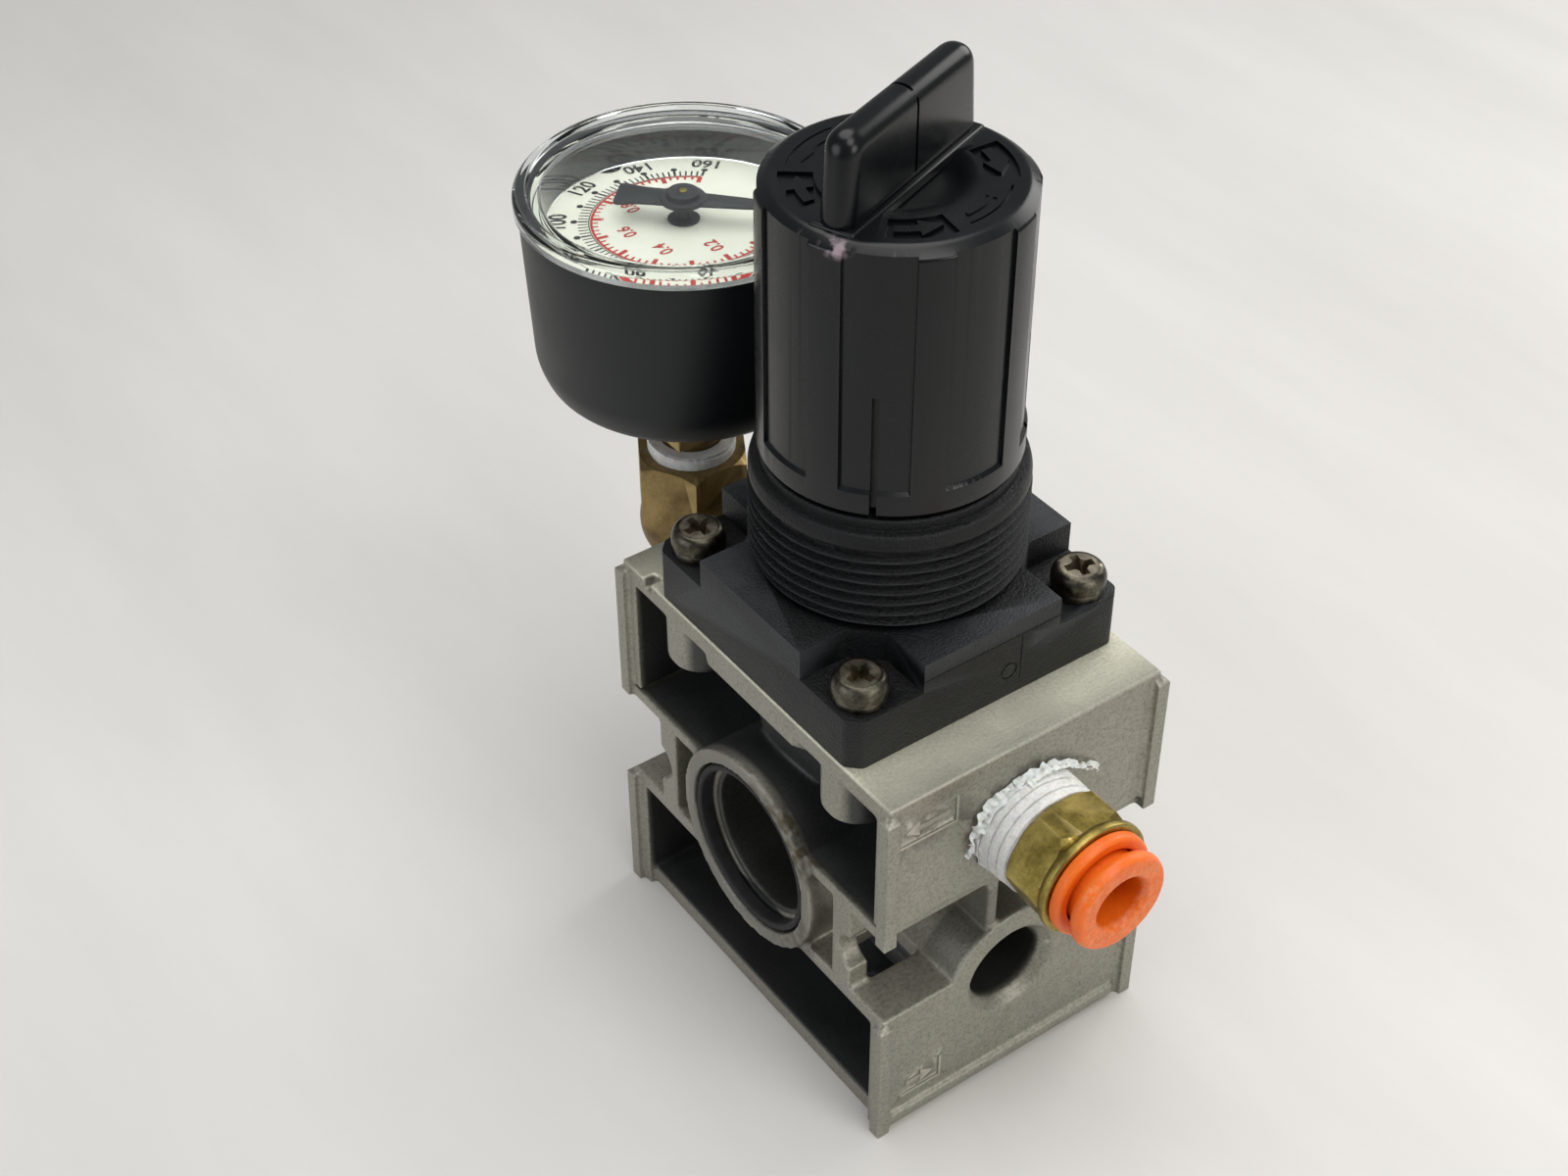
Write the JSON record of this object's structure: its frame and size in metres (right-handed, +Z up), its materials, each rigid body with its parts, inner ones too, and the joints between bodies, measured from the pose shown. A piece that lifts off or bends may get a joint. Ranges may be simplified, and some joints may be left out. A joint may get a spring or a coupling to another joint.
{
  "type": "air pressure regulator",
  "caption": "Modular air pressure regulator: ported die-cast body, threaded plastic bonnet, turn-and-lift winged knob, pressure gauge on an elbow and a push-in tube fitting.",
  "frame": {"origin": "centre of the body's underside, on the knob's axis", "axes": "+Z up along the knob's axis, -Y towards the tube fitting, +Y towards the gauge, X along the supply passage"},
  "size_m": [0.042, 0.1075, 0.128],
  "materials": {
    "casting": "die cast, lightly blasted",
    "black_nylon": "glass-filled, grainy",
    "black_gloss": "semi-gloss moulded",
    "pointer_black": "matt black paint",
    "brass": "machined, tarnished",
    "screw_steel": "dark plated, worn",
    "spring_steel": "bright",
    "rubber": "dusty",
    "orange_plastic": "moulded",
    "ptfe_tape": "thin white tape",
    "dial_white": "printed",
    "clear_acrylic": "clear",
    "white_plastic": "moulded"
  },
  "bodies": {
    "housing": {"body": "casting", "passage_seal": "rubber", "valve_guide_plug": "black_nylon", "plug_o_ring": "rubber", "valve_spring": "spring_steel", "diaphragm": "rubber", "bonnet": "black_nylon", "bonnet_screw_1": "screw_steel", "bonnet_screw_2": "screw_steel", "bonnet_screw_3": "screw_steel", "bonnet_screw_4": "screw_steel", "spring_washer_1": "screw_steel", "spring_washer_2": "screw_steel", "spring_washer_3": "screw_steel", "spring_washer_4": "screw_steel", "thrust_washer": "spring_steel", "knob_detent_ring": "spring_steel", "gauge_elbow": "brass", "elbow_tape": "ptfe_tape", "gauge_tape": "ptfe_tape", "gauge_socket": "brass", "gauge_case": "black_gloss", "gauge_lens": "clear_acrylic", "gauge_dial": "dial_white", "bourdon_tube": "brass", "movement_frame": "brass", "fitting_body": "brass", "fitting_tape": "ptfe_tape", "tube_seal": "rubber", "grab_ring": "spring_steel", "fitting_guide": "orange_plastic"},
    "screw": {"adjusting_screw": "brass", "screw_clip": "spring_steel"},
    "knob": {"knob": "black_gloss"},
    "nut": {"spring_nut": "brass", "adjusting_spring": "spring_steel"},
    "diaphragm_stack": {"diaphragm_plate": "white_plastic", "diaphragm_retainer": "brass"},
    "valve": {"valve_stem": "brass", "valve_rubber": "rubber"},
    "sector": {"sector_gear": "brass", "gauge_link": "brass"},
    "pointer": {"pinion_arbor": "spring_steel", "gauge_pointer": "pointer_black"},
    "release": {"release_button": "orange_plastic"}
  },
  "joints": [
    {"name": "knob_turn", "type": "hinge", "parent": "housing", "child": "screw", "pos_m": [0, 0, 0.1], "axis": [0, 0, -1], "range_deg": [0, 1980]},
    {"name": "knob_lift", "type": "slide", "parent": "screw", "child": "knob", "axis": [0, 0, 1], "range_m": [0, 0.003]},
    {"name": "nut_travel", "type": "slide", "parent": "housing", "child": "nut", "axis": [0, 0, -1], "range_m": [0, 0.0083], "deforming": ["adjusting_spring"]},
    {"name": "diaphragm_travel", "type": "slide", "parent": "housing", "child": "diaphragm_stack", "axis": [0, 0, -1], "range_m": [0, 0.0015], "stiffness_N_per_m": 1000, "springref_m": -0.001, "deforming": ["diaphragm"]},
    {"name": "valve_travel", "type": "slide", "parent": "housing", "child": "valve", "axis": [0, 0, -1], "range_m": [0, 0.0015], "deforming": ["valve_spring"]},
    {"name": "sector_swing", "type": "hinge", "parent": "housing", "child": "sector", "pos_m": [-0.00945, 0.042, 0.0864], "axis": [0, 0, 1], "range_deg": [0, 40], "stiffness_Nm_per_rad": 0.002, "springref_deg": -2.86},
    {"name": "pointer_turn", "type": "hinge", "parent": "housing", "child": "pointer", "pos_m": [0, 0.042, 0.0936], "axis": [0, 0, -1], "range_deg": [0, 272]},
    {"name": "release_press", "type": "slide", "parent": "housing", "child": "release", "axis": [0, 1, 0], "range_m": [0, 0.0012], "stiffness_N_per_m": 1000, "springref_m": -0.001}
  ],
  "couplings": [
    {"joint": "nut_travel", "follows": "knob_turn", "m_per_rad": 0.00023873},
    {"joint": "valve_travel", "follows": "diaphragm_travel", "ratio": 1},
    {"joint": "pointer_turn", "follows": "sector_swing", "ratio": 6.75}
  ]
}
